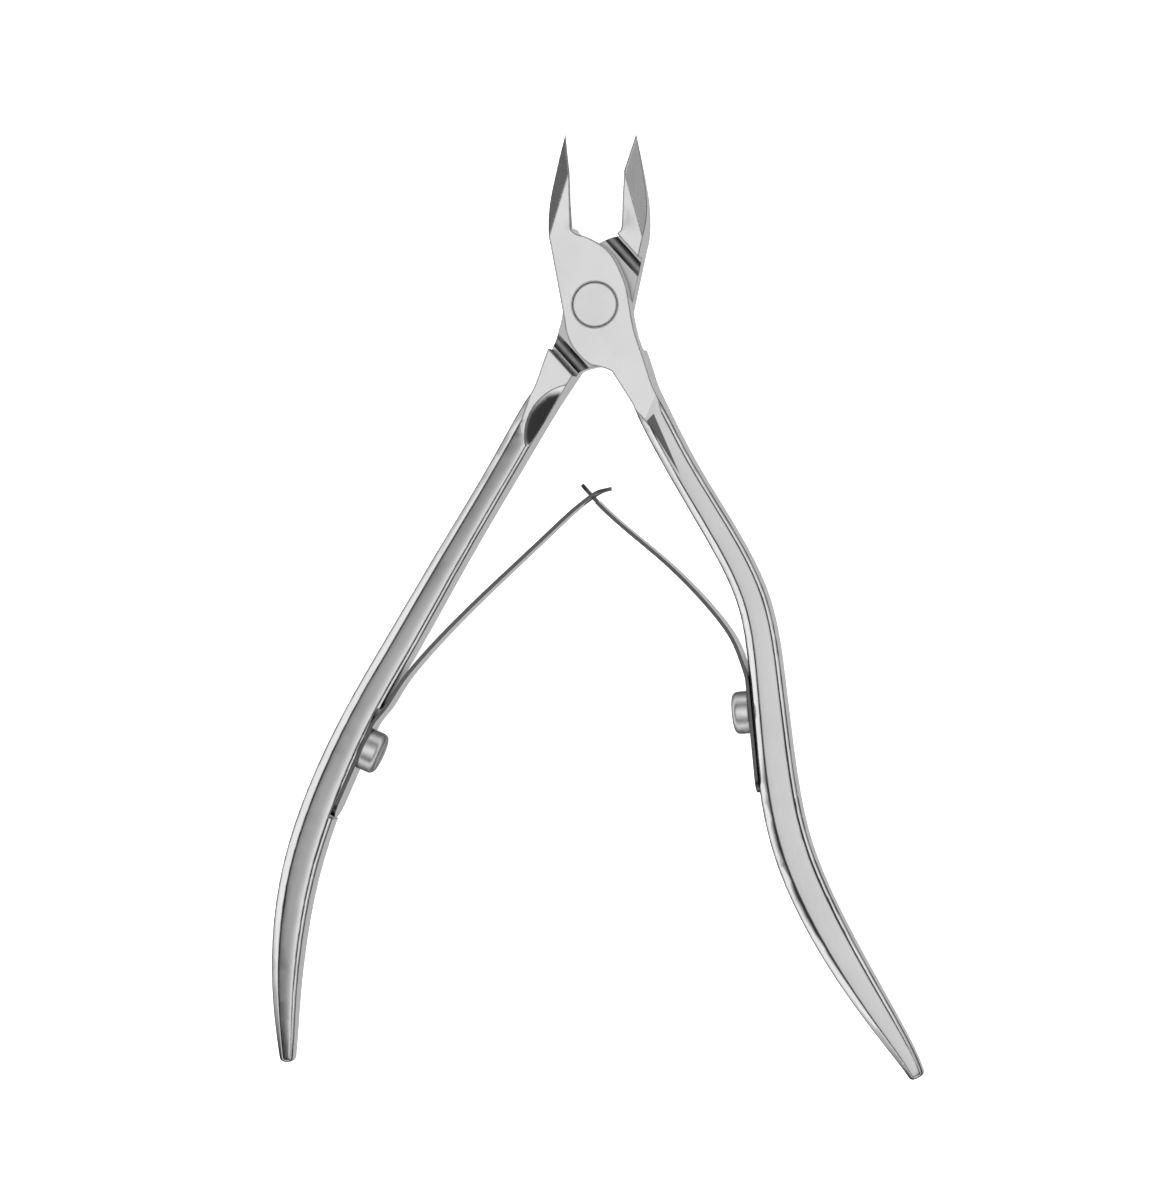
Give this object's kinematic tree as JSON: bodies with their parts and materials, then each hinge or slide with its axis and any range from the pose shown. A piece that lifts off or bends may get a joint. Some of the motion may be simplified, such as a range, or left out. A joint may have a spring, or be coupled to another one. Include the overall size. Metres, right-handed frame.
{
  "type": "cuticle nipper",
  "caption": "Hand nipper with a lap joint, pointed ground jaws, curved handles and crossing leaf springs that hold it open.",
  "frame": {"origin": "on the pivot axis, at the back face that the joint rests on", "axes": "+Z along the pivot towards the front face, +Y towards the jaws, +X to the right of the front view"},
  "size_m": [0.0803, 0.1144, 0.006],
  "materials": {
    "polished_steel": "polished stainless steel, satin on the ground faces",
    "ground_steel": "finely ground",
    "spring_steel": "polished strip",
    "screw_steel": "turned and tumbled"
  },
  "bodies": {
    "back_half": {"back_lever": "polished_steel", "pivot_rivet": "ground_steel", "left_spring_root": "spring_steel", "left_spring_screw": "screw_steel"},
    "front_half": {"front_lever": "polished_steel", "right_spring_root": "spring_steel", "right_spring_screw": "screw_steel"},
    "left_spring_tip": {"left_spring_arm": "spring_steel"},
    "right_spring_tip": {"right_spring_arm": "spring_steel"}
  },
  "joints": [
    {"name": "pivot", "type": "hinge", "parent": "back_half", "child": "front_half", "pos_m": [0, 0, 0.003], "axis": [0, 0, -1], "range_deg": [0, 23.3], "stiffness_Nm_per_rad": 1.2},
    {"name": "left_leaf_flex", "type": "hinge", "parent": "back_half", "child": "left_spring_tip", "pos_m": [-0.0212, -0.0435, 0.003], "axis": [0, 0, 1], "range_deg": [0, 11]},
    {"name": "right_leaf_flex", "type": "hinge", "parent": "front_half", "child": "right_spring_tip", "pos_m": [0.0176, -0.041, 0.003], "axis": [0, 0, -1], "range_deg": [0, 12.2]}
  ],
  "couplings": [
    {"joint": "left_leaf_flex", "follows": "pivot", "ratio": 0.46},
    {"joint": "right_leaf_flex", "follows": "pivot", "ratio": 0.511}
  ]
}
